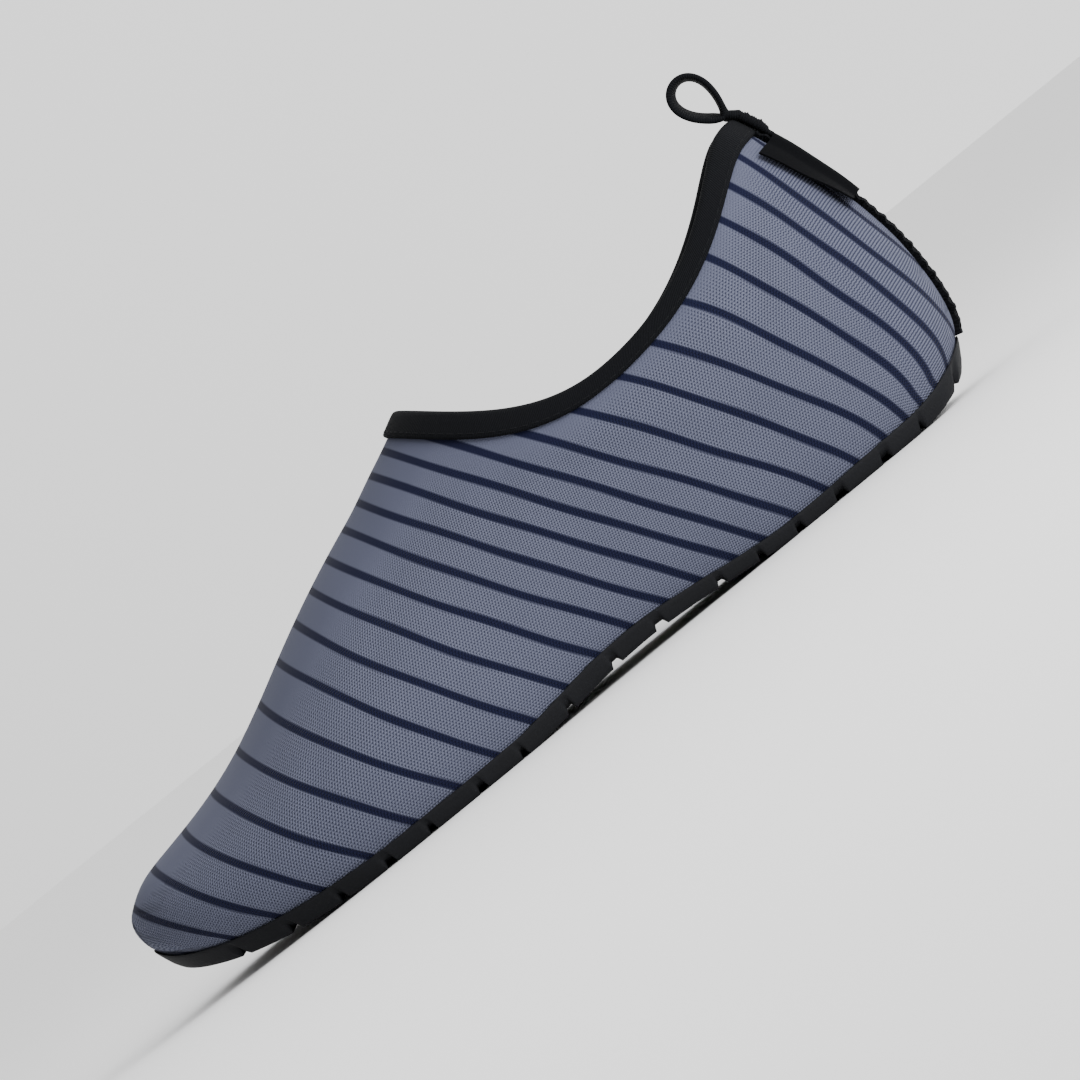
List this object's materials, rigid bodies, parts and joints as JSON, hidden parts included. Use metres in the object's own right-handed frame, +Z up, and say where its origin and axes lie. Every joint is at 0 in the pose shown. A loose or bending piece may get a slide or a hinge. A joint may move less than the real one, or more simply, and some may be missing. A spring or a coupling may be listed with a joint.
{
  "type": "water shoe",
  "caption": "Slip-on water shoe for the left foot: one striped stretch-knit sock on a thin flexible rubber sole, with a taped collar and a heel pull loop.",
  "frame": {"origin": "on the floor plane, in the middle of the heel's flat spot under the sole", "axes": "+Z up, -X towards the toe, +X towards the heel, -Y to the outer (little toe) side of the left shoe"},
  "size_m": [0.2625, 0.0911, 0.1079],
  "materials": {
    "outsole": "moulded, satin black",
    "insole": "matt foam with a textile top",
    "knit": "fine stretch knit, grey-blue with thin navy stripes",
    "tape": "ribbed woven tape, black",
    "label": "plain woven label, black"
  },
  "bodies": {
    "root": {"outsole": "outsole", "insole": "insole", "upper": "knit", "collar_binding": "tape", "heel_tape": "tape", "heel_label": "label", "pull_loop": "tape"}
  },
  "joints": []
}
